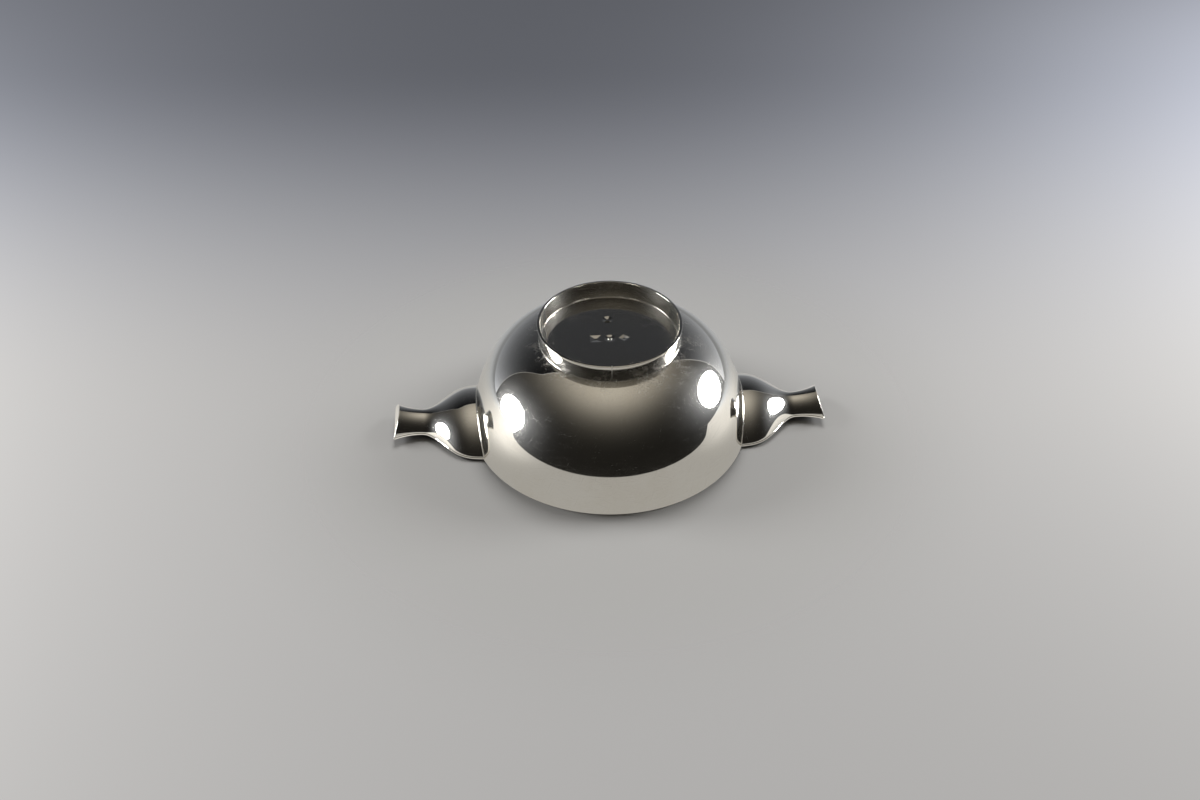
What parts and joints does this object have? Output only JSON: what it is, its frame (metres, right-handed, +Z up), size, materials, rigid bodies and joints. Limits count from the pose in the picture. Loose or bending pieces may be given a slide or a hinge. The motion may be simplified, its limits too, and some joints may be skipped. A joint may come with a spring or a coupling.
{
  "type": "quaich",
  "caption": "Shallow polished silver drinking bowl on a plain ring foot, with flat-topped waisted lug handles on opposite sides of the rim.",
  "frame": {"origin": "middle of the foot ring's standing face", "axes": "+Z up through the mouth along the bowl's axis, +X through the right lug"},
  "size_m": [0.1194, 0.076, 0.0342],
  "materials": {
    "silver": "polished sterling silver with fine circular polishing marks",
    "solder": "polished silver solder, a little greyer than the sheet"
  },
  "bodies": {
    "root": {"bowl": "silver", "foot_ring": "silver", "foot_solder": "solder", "right_lug_top_plate": "silver", "right_lug_underside": "silver", "right_lug_end_plate": "silver", "right_lug_solder": "solder", "left_lug_top_plate": "silver", "left_lug_underside": "silver", "left_lug_end_plate": "silver", "left_lug_solder": "solder"}
  },
  "joints": []
}
